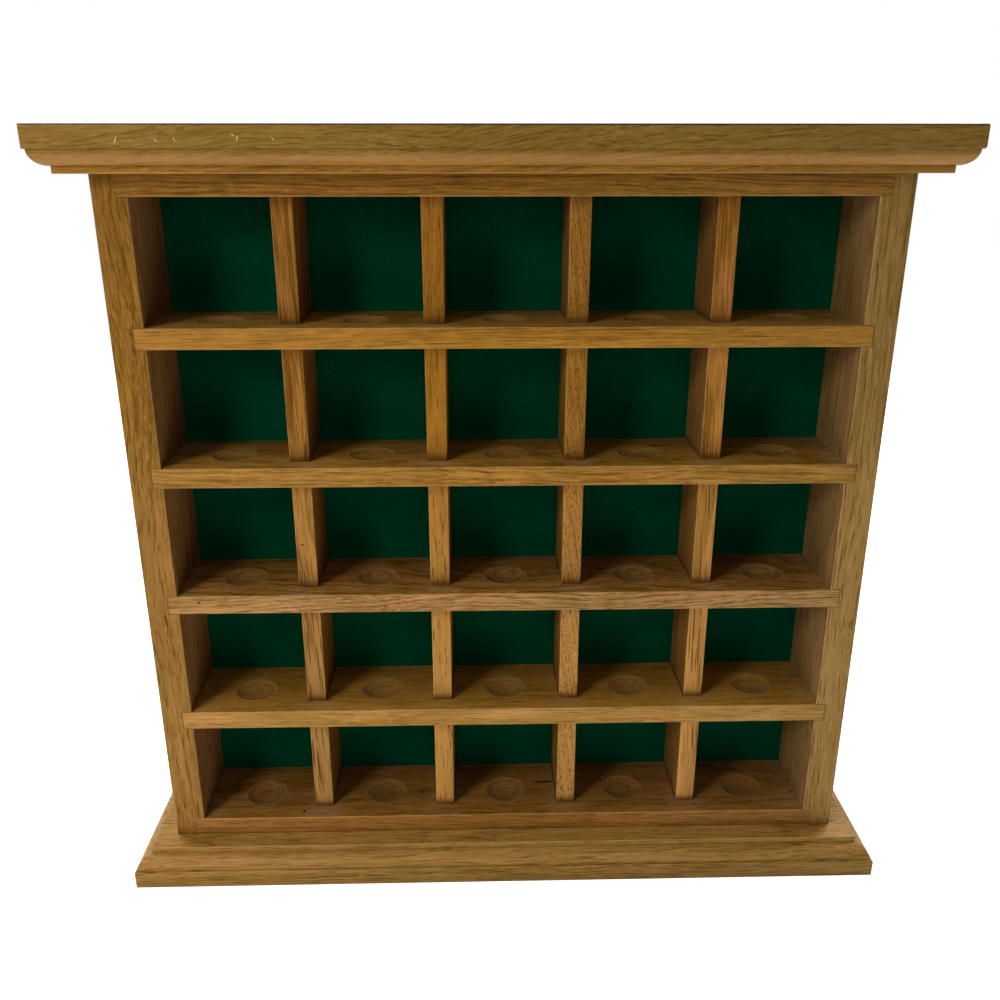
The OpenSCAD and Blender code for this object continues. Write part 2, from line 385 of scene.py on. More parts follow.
mould_group, given, out = new_group(
    "Moulding",
    {"Place": "vector", "Low corner": "vector", "High corner": "vector", "Flat side": "number"},
    {"Rubbed": "number", "Corner shade": "number", "Round": "number", "Last step": "number"},
)
from_low = split(mould_group, vector(mould_group, "SUBTRACT", given["Place"], given["Low corner"]))
from_high = split(mould_group, vector(mould_group, "SUBTRACT", given["High corner"], given["Place"]))
depth = least(mould_group, [from_low["X"], from_high["X"], from_low["Y"]])
from_flat = calc(mould_group, "SUBTRACT", split(mould_group, given["Place"])["Z"], given["Flat side"])
height = calc(mould_group, "ABSOLUTE", from_flat)
profile = join(mould_group, depth, height, 0.0)
first, second, last = [
    vector(mould_group, "DISTANCE", profile, corner, output="Value")
    for corner in (FIRST_CORNER, SECOND_CORNER, LAST_CORNER)
]
inner = calc(mould_group, "MINIMUM", first, second)
round_starts = step(mould_group, height, *ROUND_STARTS)
round_ends = step(mould_group, height, *ROUND_ENDS, 1.0, 0.0)
put(out["Rubbed"], step(mould_group, last, *RUBBED_REACH, 1.0, 0.0))
# Painted shade in the two inner corners.
put(out["Corner shade"], step(mould_group, inner, *CORNER_SHADE_REACH, 1.0, 0.0))
put(out["Round"], calc(mould_group, "MULTIPLY", round_starts, round_ends))
put(out["Last step"], step(mould_group, height, *LAST_STEP_STARTS))
print("moulding group:", len(mould_group.nodes), "nodes")

# %% [markdown]
# ## Varnished oak
# The pieces above come together in one group. First it asks each about a place:
# which ring it is in, whether it lies in a pore or a ray, and how near an arris and an
# end are. It also reads the way the face turns, because a face across the grain is end
# grain, and the broad faces of a board have a colour factor of their own, partly their
# own tone and partly painted light and shade.

# %% Start the oak group and read the wood, the edges and the faces
END_GRAIN_TURN = (0.45, 0.9)
BROAD_TURN = (0.5, 0.9)

oak_group, given, out = new_group(
    "Varnished oak",
    {"Wood": "vector", "Place": "vector", "Low corner": "vector", "High corner": "vector",
     "Grain": "vector", "Ring width": "number", "Wander": "number", "Pore amount": "number",
     "Pore stretch": "vector", "Pore tone": "number", "Ray tone": "number",
     "Ring tone": "number", "Blush": "number", "Broad axis": "vector", "Broad colour": "colour",
     "Pale wood": "colour", "Dark wood": "colour", "Blush colour": "colour",
     "Ray colour": "colour", "Pore colour": "colour", "End colour": "colour",
     "Worn colour": "colour", "Joined": "number", "Joint colour": "colour"},
    {"Color": "colour", "Roughness": "number", "Height": "number"},
)
growth = {name: given[name] for name in ("Wood", "Ring width", "Wander")}
wood = use(oak_group, rings_group, growth)
vessels = {"Bent": wood["Bent"], "Early": wood["Early"],
           "Stretch": given["Pore stretch"], "Amount": given["Pore amount"]}
pores = use(oak_group, pores_group, vessels)[0]
rays = use(oak_group, rays_group, {"Ray space": wood["Ray space"]})[0]
corners = {name: given[name] for name in ("Place", "Low corner", "High corner", "Grain")}
edges = use(oak_group, arris_group, corners)
normal = facing(oak_group)
along = vector(oak_group, "DOT_PRODUCT", normal, given["Grain"], output="Value")
end_grain = step(oak_group, calc(oak_group, "ABSOLUTE", along), *END_GRAIN_TURN)
outward = vector(oak_group, "DOT_PRODUCT", normal, given["Broad axis"], output="Value")
broad = step(oak_group, calc(oak_group, "ABSOLUTE", outward), *BROAD_TURN)
print("oak group reads with:", len(oak_group.nodes), "nodes")

# %% [markdown]
# One number, the tone, goes from pale late wood at 0 to dark early wood at 1. Slow clouds,
# streaks and fine fibres of noise add to it, and so do the rings. Rosy patches come next,
# then the broad faces, the flecks of the rays, the end grain, which takes the stain
# differently, and last the dark pores.

# %% Lay on the colour of the wood
CLOUDS = dict(scale=(0.014, 0.09, 0.09), detail=3.0, roughness=0.55)
STREAKS = dict(scale=(0.025, 0.8, 0.8), detail=2.0, roughness=0.6)
FIBRES = dict(scale=(0.06, 1.3, 1.3), detail=2.0, roughness=0.7)
PATCHES = dict(scale=(0.011, 0.12, 0.12), detail=2.0, roughness=0.5)
CLOUD_TONE = 0.9
STREAK_TONE = 1.1
FIBRE_TONE = 1.6
TONE_START = -1.3
PATCH_EDGE = (0.42, 0.62)

tone = calc(oak_group, "MULTIPLY_ADD", noise(oak_group, wood["Bent"], **CLOUDS), CLOUD_TONE, TONE_START)
tone = calc(oak_group, "MULTIPLY_ADD", noise(oak_group, wood["Bent"], **STREAKS), STREAK_TONE, tone)
tone = calc(oak_group, "MULTIPLY_ADD", noise(oak_group, wood["Bent"], **FIBRES), FIBRE_TONE, tone)
tone = calc(oak_group, "MULTIPLY_ADD", wood["Early"], given["Ring tone"], tone)
colour = mix(oak_group, tone, given["Pale wood"], given["Dark wood"])
patches = step(oak_group, noise(oak_group, wood["Bent"], **PATCHES), *PATCH_EDGE)
blush = calc(oak_group, "MULTIPLY", patches, given["Blush"])
colour = mix(oak_group, blush, colour, given["Blush colour"], how="MULTIPLY")
# The broad faces get their factor: partly their own tone, partly painted light and shade.
colour = mix(oak_group, broad, colour, given["Broad colour"], how="MULTIPLY")
colour = lay(oak_group, rays, given["Ray tone"], colour, given["Ray colour"])
cut_wood = mix(oak_group, tone, given["End colour"], given["Dark wood"])
colour = mix(oak_group, end_grain, colour, cut_wood)
wood_colour = lay(oak_group, pores, given["Pore tone"], colour, given["Pore colour"])
print("oak group so far:", len(oak_group.nodes), "nodes")

# %% [markdown]
# Then the arrises are rubbed paler, unevenly, and the joints get their dark line. The
# group gives a colour, a roughness and a height for a bump: a pore is a groove, duller
# than the lacquer round it. The shader itself stays in each material.

# %% Rub the arrises, darken the joints and set the gloss
RUB_SCALE = (0.12, 0.12, 0.12)
RUB_UNEVEN = 0.5
RUB_REACH = (0.3, 0.8)
RUB_SHARE = 0.45
JOINT_REACH = (0.25, 0.7)
JOINT_SHARE = 0.6
SATIN_SCALE = (0.03, 0.03, 0.03)
SATIN_ROUGHNESS = (0.38, 0.48)
PORE_ROUGHNESS = 0.2

rub = noise(oak_group, given["Place"], RUB_SCALE)
edge = calc(oak_group, "MULTIPLY_ADD", rub, RUB_UNEVEN, edges["Arris"])
worn = step(oak_group, edge, *RUB_REACH, RUB_SHARE, 0.0)
colour = mix(oak_group, worn, wood_colour, given["Worn colour"])
joint = step(oak_group, edges["End"], *JOINT_REACH, JOINT_SHARE, 0.0)
put(out["Color"], lay(oak_group, joint, given["Joined"], colour, given["Joint colour"]))
satin = noise(oak_group, given["Place"], SATIN_SCALE, 3.0)
satin = step(oak_group, satin, 0.3, 0.7, *SATIN_ROUGHNESS)
put(out["Roughness"], calc(oak_group, "MULTIPLY_ADD", pores, PORE_ROUGHNESS, satin))
put(out["Height"], calc(oak_group, "SUBTRACT", 1.0, pores))
print("oak group:", len(oak_group.nodes), "nodes")

# %% [markdown]
# ## What hands and time have left, and painted highlights
# Three more groups add small things. The first measures how far a point is from the
# middle of the nearest ball seat. The cutter that made the seats left fine rings, with
# gaps; the rings and the rim are painted paler, a painted highlight where they would
# catch the light. The lacquer lies thicker in the hollows, so they shine more. The
# middles come from the compartments that the measured model lists.

# %% The group for the ball seats
SEAT_FROM_FRONT = 21.5
SEAT_RADIUS = 10.5
SEAT_EDGE = (SEAT_RADIUS - 0.4, SEAT_RADIUS + 0.2)
RIM_REACH = (0.1, 0.55)
CUTTER_WAVES = 3.6
SKIP_SCALE = (0.16, 0.16, 0.16)
SKIP_EDGE = (0.4, 0.62)
RING_HIGHLIGHT_SHARE = 0.8

rooms = frame["record"]["physics"]["openings"]
room_boxes = [[[side / MM for side in corner] for corner in room["box_m"]] for room in rooms]
SEAT_XS = sorted({round((low[0] + high[0]) / 2, 3) for low, high in room_boxes})
seat_y = box_mm("shelf_1")[0].y + SEAT_FROM_FRONT
seats_group, given, out = new_group(
    "Ball seats", {"Place": "vector"}, {"Inside": "number", "Rings": "number", "Grooves": "number"}
)
flat = vector(seats_group, "MULTIPLY", given["Place"], (1, 1, 0))
apart = [vector(seats_group, "DISTANCE", flat, (x, seat_y, 0), output="Value") for x in SEAT_XS]
near = least(seats_group, apart)
from_rim = calc(seats_group, "ABSOLUTE", calc(seats_group, "SUBTRACT", near, SEAT_RADIUS))
# The rim and the rings are masks for a painted highlight: paler colour where they would catch the light.
rim = step(seats_group, from_rim, *RIM_REACH, 1.0, 0.0)
inside = step(seats_group, near, *SEAT_EDGE, 1.0, 0.0)
waves = calc(seats_group, "SINE", calc(seats_group, "MULTIPLY", near, CUTTER_WAVES))
skips = step(seats_group, noise(seats_group, given["Place"], SKIP_SCALE), *SKIP_EDGE)
skips = calc(seats_group, "MULTIPLY", skips, inside)
rings = calc(seats_group, "MULTIPLY", step(seats_group, waves, 0.4, 1.0, 0.0, RING_HIGHLIGHT_SHARE), skips)
grooves = calc(seats_group, "MULTIPLY", step(seats_group, waves, -1.0, -0.3, 1.0, 0.0), skips)
put(out["Inside"], inside)
put(out["Grooves"], grooves)
put(out["Rings"], calc(seats_group, "MAXIMUM", rings, rim))
print("seat middles across, in mm:", SEAT_XS)

# %% [markdown]
# The second group draws one small mark, such as a nick or a speck: a tilted soft-edged
# spindle at a place in space. The third lays dust on the faces that look up, round the
# feet of the uprights.

# %% The groups for marks and dust
MARK_EDGE = (0.55, 1.0)
DUST_REACH = (4.0, 13.0)
DUST_SHARE = 0.3
LINT = dict(scale=(0.11, 0.3, 0.3), detail=4.0, roughness=0.65)
LINT_EDGE = (0.35, 0.7)
UPWARD_TURN = (0.7, 0.95)
DIVIDERS = [box_mm("divider_%d" % number) for number in range(1, 5)]
FEET_XS = [(low.x + high.x) / 2 for low, high in DIVIDERS]
FEET_XS += [box_mm("left_side")[1].x, box_mm("right_side")[0].x]

mark_group, given, out = new_group(
    "Mark",
    {"Place": "vector", "Middle": "vector", "Turn": "vector", "Size": "vector"},
    {"Mark": "number"},
)
local = vector(mark_group, "SUBTRACT", given["Place"], given["Middle"])
turned = node(mark_group, "VectorRotate", {"Vector": local, "Rotation": given["Turn"]},
              rotation_type="EULER_XYZ").outputs[0]
reach = vector(mark_group, "LENGTH", vector(mark_group, "DIVIDE", turned, given["Size"]), output="Value")
put(out["Mark"], step(mark_group, reach, *MARK_EDGE, 1.0, 0.0))

dust_group, given, out = new_group("Dust", {"Place": "vector", "Normal": "vector"}, {"Dust": "number"})
across = split(dust_group, given["Place"])["X"]
apart = [calc(dust_group, "ABSOLUTE", calc(dust_group, "SUBTRACT", across, x)) for x in FEET_XS]
feet = step(dust_group, least(dust_group, apart), *DUST_REACH, DUST_SHARE, 0.0)
lint = step(dust_group, noise(dust_group, given["Place"], **LINT), *LINT_EDGE)
upward = step(dust_group, split(dust_group, given["Normal"])["Z"], *UPWARD_TURN)
put(out["Dust"], calc(dust_group, "MULTIPLY", calc(dust_group, "MULTIPLY", feet, lint), upward))
print("feet of the uprights, in mm:", [round(x, 1) for x in FEET_XS])

# %% [markdown]
# ## The looks of the boards
# No two boards of the case are alike: the left side is warm and closely figured, the
# right one leans to olive, the third shelf is paler and pinker, and the first and last
# dividers are boldly striped. So each board gets the same group with values of its own:
# the way its grain runs, the place of the pith outside the board, the width of its
# rings, and its tones. `start` picks another stretch of the trunk. `broad` is a factor
# for the colour of the broad faces, partly their own tone and partly painted light and
# shade, `joined` says how dark the ends are, and another value says how much painted
# light lies on the left end of the front. Three values are for mouldings: the wear and
# painted light on the round, the painted shade in the inner corners, and, as `last`, the
# painted warm light on the last step.

# %% Tones and values for each board
PLAIN = dict(ring=2.7, wander=12, slope=0, pores=0.2, long=1.0, wide=1.0, pore_tone=0.8,
             contrast=0.4, ring_tone=0.2, ray_tone=0.25, blush=0.3, broad=(1, 1, 1), joined=1,
             window_light=0.1)
LOOKS = {
    "top_board": dict(tone=(123, 93, 33), pith=(22, -70), start=310, wander=30, pores=0.6,
                      contrast=0.32, blush=0.15, joined=0, slope=5, long=1.6, window_light=0.06,
                      round_wear_and_light=0.25, corner_shade=0.02, last=(1.3, 1.12, 0.88)),
    "base_board": dict(tone=(158, 119, 54), pith=(-26, -62), start=1270, slope=1, pores=0.5,
                       contrast=0.32, blush=0.2, joined=0, long=1.5,
                       round_wear_and_light=0.05, corner_shade=0.12, last=(1, 1, 1)),
    "left_side": dict(tone=(129, 91, 27), pith=(46, -58), start=2480, wander=26, ray_tone=0.6,
                      broad=(1.15, 1.18, 3.0), pores=0.1, long=1.3, contrast=0.45),
    "right_side": dict(tone=(132, 104, 48), pith=(-70, -30), start=3130, wander=16, long=2.0,
                       ray_tone=0.3, broad=(1.15, 1.1, 1.6)),
    "bottom_panel": dict(tone=(144, 98, 37), pith=(10, -90), start=4550, slope=-1, joined=0.4,
                         pores=0.3, broad=(0.92, 1.0, 1.1)),
    "top_panel": dict(tone=(132, 91, 25), pith=(-14, 84), start=5210, wander=18, slope=-1, long=2.0,
                      blush=0.5, ring_tone=0.3, joined=0.25, pores=0.3, contrast=0.5,
                      window_light=0.03),
    "shelf_1": dict(tone=(152, 109, 30), pith=(6, -95), start=6320, ring=3.2, slope=1, pores=0.0,
                    long=1.8, blush=0.6, contrast=0.42, broad=(0.92, 1.03, 1.6)),
    "shelf_2": dict(tone=(152, 109, 36), pith=(-18, -85), start=7150, wander=18, slope=-1.5,
                    pores=0.6, long=2.0, contrast=0.5, broad=(0.88, 0.93, 1.0)),
    "shelf_3": dict(tone=(158, 118, 62), pith=(12, -66), start=8440, ring=2.1, wander=24, slope=2,
                    pores=0.9, long=0.9, blush=0.7, ring_tone=0.3, contrast=0.5, wide=0.9,
                    broad=(0.78, 0.72, 0.45)),
    "shelf_4": dict(tone=(160, 119, 51), pith=(-8, -98), start=9270, ring=3.8, wander=6, slope=-0.5,
                    pores=-0.8, ring_tone=0.1, broad=(0.95, 0.92, 0.65)),
    "divider_1": dict(tone=(147, 99, 32), pith=(-60, 4), start=1530, ring=2.0, wander=6, slope=2,
                      pores=0.8, long=2.5, wide=1.1, ring_tone=0.5, contrast=0.5, broad=(0.85, 0.85, 1.0)),
    "divider_2": dict(tone=(153, 105, 23), pith=(10, -75), start=2610, ring=3.0, pores=-0.8,
                      blush=0.5, ring_tone=0.1),
    "divider_3": dict(tone=(148, 103, 31), pith=(6, 82), start=3720, slope=9, pores=1.2, long=0.2,
                      wide=0.7, blush=0.4, contrast=0.45, broad=(0.78, 0.84, 1.2)),
    "divider_4": dict(tone=(166, 113, 44), pith=(66, -6), start=4890, ring=2.3, wander=6, slope=2,
                      long=3.5, wide=1.3, ring_tone=0.5, contrast=0.45, broad=(0.7, 0.76, 1.1)),
}
UPRIGHTS = [name for name in LOOKS if "side" in name or "divider" in name]
print("boards to dress:", len(LOOKS), "of them upright:", len(UPRIGHTS))

# %% [markdown]
# ## Materials
# A material starts as an empty Principled shader. Its patterns read Object coordinates,
# which are metres in the frame here, and are made millimetres first.

# %% Helpers for materials
def new_material(name):
    """A material with an empty Principled shader, its tree and that shader."""
    material = bpy.data.materials.new(name)
    material.use_nodes = True
    tree = material.node_tree
    return material, tree, tree.nodes["Principled BSDF"]


def mm_place(tree):
    """The place on the object, in millimetres."""
    place = node(tree, "TexCoord").outputs["Object"]
    return vector(tree, "MULTIPLY", place, (1 / MM,) * 3)


def finish(shader, sockets):
    """Sets or links the shader's sockets, by name."""
    for name, value in sockets.items():
        put(shader.inputs[name], value)


def dress(name, material):
    """Gives a piece of the measured model its material."""
    mesh = frame["nodes"][name].data
    mesh.materials.clear()
    mesh.materials.append(material)


# %% [markdown]
# The wood of a board is the oak group. A Mapping node lays the grain along X, with the
# pith where the board's values put it. The pale and the dark wood are shades of the
# board's own tone: pale oak has more blue in it, and dark oak less.

# %% The wood of one board
ROSE = (1.05, 0.88, 1.0, 1.0)
PORE = paint(88, 45, 0)
END = paint(150, 100, 62)
RUBBED = paint(196, 160, 104)
JOINT = paint(38, 22, 8)
PALE_BLUE = 1.5
DARK_BLUE = 0.4
RAY_LIGHT = 1.5


def shade(colour, factor, blue=1.0):
    """The colour, lighter or darker, with more or less blue."""
    red, green = colour[0] * factor, colour[1] * factor
    return (red, green, colour[2] * factor * blue, 1.0)


def solid_oak(tree, name, look, place):
    """The oak group, set for the board of that name."""
    low, high = box_mm(name)
    upright = name in UPRIGHTS
    angle = look["slope"] + (90 if upright else 0)
    turn = Matrix.Rotation(math.radians(angle), 3, "Y")
    middle = turn @ ((low + high) / 2)
    shift = Vector((look["start"], *look["pith"])) * -1 - Vector((0, middle.y, middle.z))
    mapping = {"Vector": place, "Location": shift, "Rotation": turn.to_euler()}
    tone = paint(*look["tone"])
    return use(tree, oak_group, {
        "Wood": node(tree, "Mapping", mapping).outputs[0],
        "Place": place,
        "Low corner": low,
        "High corner": high,
        "Grain": (0, 0, 1) if upright else (1, 0, 0),
        "Ring width": look["ring"],
        "Wander": look["wander"],
        "Pore amount": look["pores"],
        "Pore stretch": (1 / look["long"], 1 / look["wide"], 1 / look["wide"]),
        "Pore tone": look["pore_tone"],
        "Ray tone": look["ray_tone"],
        "Ring tone": look["ring_tone"],
        "Blush": look["blush"],
        "Broad axis": (1, 0, 0) if upright else (0, 0, 1),
        "Broad colour": look["broad"] + (1.0,),
        "Pale wood": shade(tone, 1 + look["contrast"], PALE_BLUE),
        "Dark wood": shade(tone, 1 - look["contrast"], DARK_BLUE),
        "Blush colour": ROSE,
        "Ray colour": shade(tone, RAY_LIGHT),
        "Pore colour": PORE,
        "End colour": END,
        "Worn colour": RUBBED,
        "Joined": look["joined"],
        "Joint colour": JOINT,
    })


print("contrast of a plain board:", PLAIN["contrast"])

# %% [markdown]
# Age and painted light come on top of the wood. On a shelf the ball seats are hollows
# with a pale haze, partly of the cut wood and partly painted light that flattens their
# shading. Their cutter's grooves are darker, and their rings and rims carry a painted
# highlight. Dust lies at the feet of the dividers, and the back is darker with painted
# shade. All this is on the faces that look up.

# %% Wear, dust and painted light and shade on the boards that hold balls
HAZE_AND_LIGHT = paint(138, 106, 70)
RIM_HIGHLIGHT = paint(168, 138, 104)
DUST = paint(158, 136, 108)
GRIME_AND_SHADE = paint(70, 36, 8)
BACK_SHADE = paint(40, 34, 16)
TOP_TURN = (0.5, 0.8)
HAZE_AND_LIGHT_SHARE = 0.12
GROOVE_SHARE = 0.3
RIM_HIGHLIGHT_SHARE = 0.45
COAT_SHARE = 0.6
BACK_SHADE_FROM = (6.0, 28.0)
BACK_SHADE_SHARE = 0.4


def wear_and_light_shelf(tree, place, colour):
    """Seats, dust, painted highlights and painted shade on a board that holds balls: its colour and its
    coat.
    """
    normal = facing(tree)
    upward = step(tree, split(tree, normal)["Z"], *TOP_TURN)
    seats = use(tree, seats_group, {"Place": place})
    hollow = calc(tree, "MULTIPLY", seats["Inside"], upward)
    # Haze in the hollows: partly the pale cut wood, partly painted light that lifts the hollows' shading.
    colour = lay(tree, hollow, HAZE_AND_LIGHT_SHARE, colour, HAZE_AND_LIGHT)
    grooves = calc(tree, "MULTIPLY", seats["Grooves"], upward)
    colour = lay(tree, grooves, GROOVE_SHARE, colour, GRIME_AND_SHADE)
    # Painted highlight on the rings and the rim.
    rings = calc(tree, "MULTIPLY", seats["Rings"], upward)
    colour = lay(tree, rings, RIM_HIGHLIGHT_SHARE, colour, RIM_HIGHLIGHT)
    dust = use(tree, dust_group, {"Place": place, "Normal": normal})["Dust"]
    colour = mix(tree, dust, colour, DUST)
    # Painted shade, darker towards the back of the shelf tops.
    back_shade = step(tree, split(tree, place)["Y"], *BACK_SHADE_FROM, 0.0, BACK_SHADE_SHARE)
    colour = lay(tree, back_shade, upward, colour, BACK_SHADE)
    return colour, calc(tree, "MULTIPLY", hollow, COAT_SHARE)


print("ball seats on each shelf:", len(SEAT_XS))

# %% [markdown]
# The fronts of the level boards carry painted light at their left ends, on the side of
# the window, and painted shade at their right ends. Both show on the fronts only, and
# fade out along the board.

# %% Painted light and shade on the fronts of the level boards
PAINTED_LIGHT = paint(227, 173, 103)
RIGHT_SHADE = paint(110, 95, 60)
FRONT_TURN = (-0.8, -0.4)
WINDOW_LIGHT_X = (-190.0, 40.0)
RIGHT_SHADE_X = (-20.0, 190.0)
RIGHT_SHADE_SHARE = 0.2


def in_front(tree):
    """1 on the faces that look to the front."""
    return step(tree, split(tree, facing(tree))["Y"], *FRONT_TURN, 1.0, 0.0)


def light_and_shade_level_board(tree, look, place, colour):
    """Painted light on the left end and painted shade on the right end of a level board's front."""
    across = split(tree, place)["X"]
    front = in_front(tree)
    # Painted light, paler towards the left end.
    window_light = step(tree, across, *WINDOW_LIGHT_X, look["window_light"], 0.0)
    colour = lay(tree, window_light, front, colour, PAINTED_LIGHT)
    # Painted shade, greyer towards the right end.
    right_shade = step(tree, across, *RIGHT_SHADE_X, 0.0, RIGHT_SHADE_SHARE)
    return lay(tree, right_shade, front, colour, RIGHT_SHADE)


print("bleached along x, in mm:", WINDOW_LIGHT_X)

# %% [markdown]
# The uprights carry a painted pale sheen low down, a painted reflection of the bright
# table in front. It lies on the lacquer and not in the pores. Painted shade darkens the
# feet of the dividers, where they stand on a shelf, and their tops, under the top board.

# %% Painted sheen and shade on the fronts of the uprights
SHEEN_Z = (195.0, 250.0)
SHEEN_SHARE = 0.1
DIVIDER_SHEEN_Z = (60.0, 240.0)
DIVIDER_SHEEN_SHARE = 0.22
FOOT_REACH = (0.3, 4.5)
FOOT_SHARE = 0.7
DARK_TOP_Z = (265.0, 315.0)
DARK_TOP_SHARE = 0.16
PANEL_TOP = box_mm("bottom_panel")[1].z
PITCH = box_mm("shelf_4")[1].z - PANEL_TOP


def light_and_shade_upright(tree, divider, place, lacquer, colour):
    """The painted sheen on an upright's front, and the painted shade on a divider."""
    height = split(tree, place)["Z"]
    # Painted reflection: a paler sheen low down on the front.
    sheen = step(tree, height, *SHEEN_Z, SHEEN_SHARE, 0.0)
    if divider:
        lower = step(tree, height, *DIVIDER_SHEEN_Z, DIVIDER_SHEEN_SHARE, 0.0)
        sheen = calc(tree, "ADD", sheen, lower)
    sheen = calc(tree, "MULTIPLY", sheen, in_front(tree))
    colour = lay(tree, sheen, lacquer, colour, PAINTED_LIGHT)
    if divider:
        over_panel = calc(tree, "SUBTRACT", height, PANEL_TOP)
        over_shelf = calc(tree, "FLOORED_MODULO", over_panel, PITCH)
        # Painted shade at the foot, where a divider stands on a shelf.
        foot = step(tree, over_shelf, *FOOT_REACH, FOOT_SHARE, 0.0)
        colour = mix(tree, foot, colour, GRIME_AND_SHADE)
        # Painted shade at the top, under the top board.
        dark_top = step(tree, height, *DARK_TOP_Z, 0.0, DARK_TOP_SHARE)
        colour = mix(tree, dark_top, colour, GRIME_AND_SHADE)
    return colour


print("shelves lie apart, in mm:", round(PITCH, 1))

# %% [markdown]
# The two moulded boards lie with their flat sides outwards, so one is the other turned
# over. Hands have rubbed the last corners. The rounds are paler, partly from wear and
# partly as painted light from below; the inner corners carry painted shade, and the last
# step a painted warm light.

# %% Worn mouldings, with painted light and shade
HANDLED_AND_LIT = paint(206, 150, 92)
CORNER_SHARE = 0.3
FLAT_SIDES = {"top_board": box_mm("top_board")[1].z, "base_board": 0.0}


def wear_and_light_moulding(tree, name, look, place, colour):
    """The rubbed last corner, the round with wear and painted light, painted shade in the inner corners,
    and painted warm light on the last step.
    """
    low, high = box_mm(name)
    board = {"Place": place, "Low corner": low, "High corner": high, "Flat side": FLAT_SIDES[name]}
    places = use(tree, mould_group, board)
    # Painted warm light on the last step.
    colour = mix(tree, places["Last step"], colour, look["last"] + (1.0,), how="MULTIPLY")
    # The round: partly wear, partly painted light from below.
    colour = lay(tree, places["Round"], look["round_wear_and_light"], colour, HANDLED_AND_LIT)
    # Painted shade in the inner corners.
    colour = lay(tree, places["Corner shade"], look["corner_shade"], colour, GRIME_AND_SHADE)
    return lay(tree, places["Rubbed"], CORNER_SHARE, colour, RUBBED)


print("flat sides lie at z, in mm:", [round(z, 1) for z in FLAT_SIDES.values()])

# %% [markdown]
# The marks are listed for each board: the middle in millimetres, the tilt in degrees as
# seen from the front, half the length and half the width, and the colour. The nicks in
# the edge of the top board are bare wood, and go deeper than they are wide. The specks
# in the bottom panel are knots. The very long mark is a dark line along the upper
# arris of the top board.

# %% Marks
NICK = paint(208, 184, 132)
SPECK = paint(40, 22, 10)
KNOT = paint(84, 46, 18)
NICK_DEPTH = 3.0
DEPTH_PER_WIDTH = 1.5
TOP_FACE = box_mm("top_board")[0].y
TOP_LINE = box_mm("top_board")[1].z
SHELF_FACE = box_mm("shelf_3")[0].y
MARKS = {
    "top_board": [
        ((-154.3, TOP_FACE, 363.8), 68, 1.7, 0.24, NICK),
        ((-138.7, TOP_FACE, 363.8), 130, 1.0, 0.21, NICK),
        ((-131.4, TOP_FACE, 364.1), 120, 1.0, 0.18, NICK),
        ((-108.4, TOP_FACE, 365.6), 150, 1.0, 0.21, NICK),
        ((-106.8, TOP_FACE, 364.4), 75, 1.3, 0.24, NICK),
        ((-92.9, TOP_FACE, 364.3), 125, 0.9, 0.19, NICK),
        ((0, TOP_FACE, TOP_LINE), 0, 600, 0.75, SPECK),
    ],
    "bottom_panel": [
        ((-106.9, -11.1, PANEL_TOP), 0, 1.1, 0.9, SPECK),
        ((-45.1, 3.7, PANEL_TOP), 0, 1.3, 0.8, SPECK),
        ((21.5, 11.2, PANEL_TOP), 0, 6.0, 0.8, SPECK),
    ],
    "shelf_3": [((-148.2, SHELF_FACE, 154.1), 40, 1.0, 0.7, KNOT)],
    "divider_1": [((-98.4, -7, 180.0), 20, 0.9, 0.5, SPECK)],
}


def draw_marks(tree, marks, place, colour):
    """Nicks, specks and knots."""
    for middle, tilt, half_length, half_width, tint in marks:
        half_depth = NICK_DEPTH if tint == NICK else half_width * DEPTH_PER_WIDTH
        mark = use(tree, mark_group, {
            "Place": place,
            "Middle": middle,
            "Turn": (0, math.radians(tilt), 0),
            "Size": (half_length, half_depth, half_width),
        })["Mark"]
        colour = mix(tree, mark, colour, tint)
    return colour


print("marks:", {name: len(marks) for name, marks in MARKS.items()})

# %% [markdown]
# Now the layers are put together: the wood first, then its wear, its dust and painted light and shade, and
# the marks last.
# The lacquer is a thin satin one: a plain Principled shader with few reflections, and a
# clear coat only in the ball seats.

# %% Dress the boards
LACQUER_SHINE = 0.08
SEAT_COAT_ROUGHNESS = 0.14
GRAIN_STRENGTH = 0.6
GRAIN_DEPTH_MM = 0.05


def oak(name, look):
    """Varnished oak for the board of that name."""
    material, tree, shader = new_material("oak_" + name)
    place = mm_place(tree)
    wood = solid_oak(tree, name, look, place)
    colour = wood["Color"]
    if "shelf" in name or name == "bottom_panel":
        colour, coat = wear_and_light_shelf(tree, place, colour)
        finish(shader, {"Coat Weight": coat, "Coat Roughness": SEAT_COAT_ROUGHNESS})
    if name in UPRIGHTS:
        colour = light_and_shade_upright(tree, "divider" in name, place, wood["Height"], colour)
    else:
        colour = light_and_shade_level_board(tree, look, place, colour)
    if name in FLAT_SIDES:
        colour = wear_and_light_moulding(tree, name, look, place, colour)
    finish(shader, {
        "Base Color": draw_marks(tree, MARKS.get(name, []), place, colour),
        "Roughness": wood["Roughness"],
        "Normal": relief(tree, wood["Height"], GRAIN_STRENGTH, GRAIN_DEPTH_MM),
        "Specular IOR Level": LACQUER_SHINE,
    })
    return material


for name, look in LOOKS.items():
    dress(name, oak(name, {**PLAIN, **look}))
print("dressed in oak:", ", ".join(LOOKS))

# %% [markdown]
# ## The back
# The felt is glued to a thin plywood panel. Plywood faces are peeled from a log, so their
# figure is broad and wavy, and bare wood is duller than the lacquered boards.

# %% Plywood
PLY_FIGURE = dict(scale=(0.03, 0.05, 0.006), detail=3.0, roughness=0.6)
PLY_FIBRES = dict(scale=(1.6, 1.6, 0.03), detail=2.0, roughness=0.6)
PLY_BANDS = 60.0
PLY_PALE = paint(206, 168, 118)
PLY_WARM = paint(176, 132, 84)
PLY_DARK = paint(140, 98, 58)


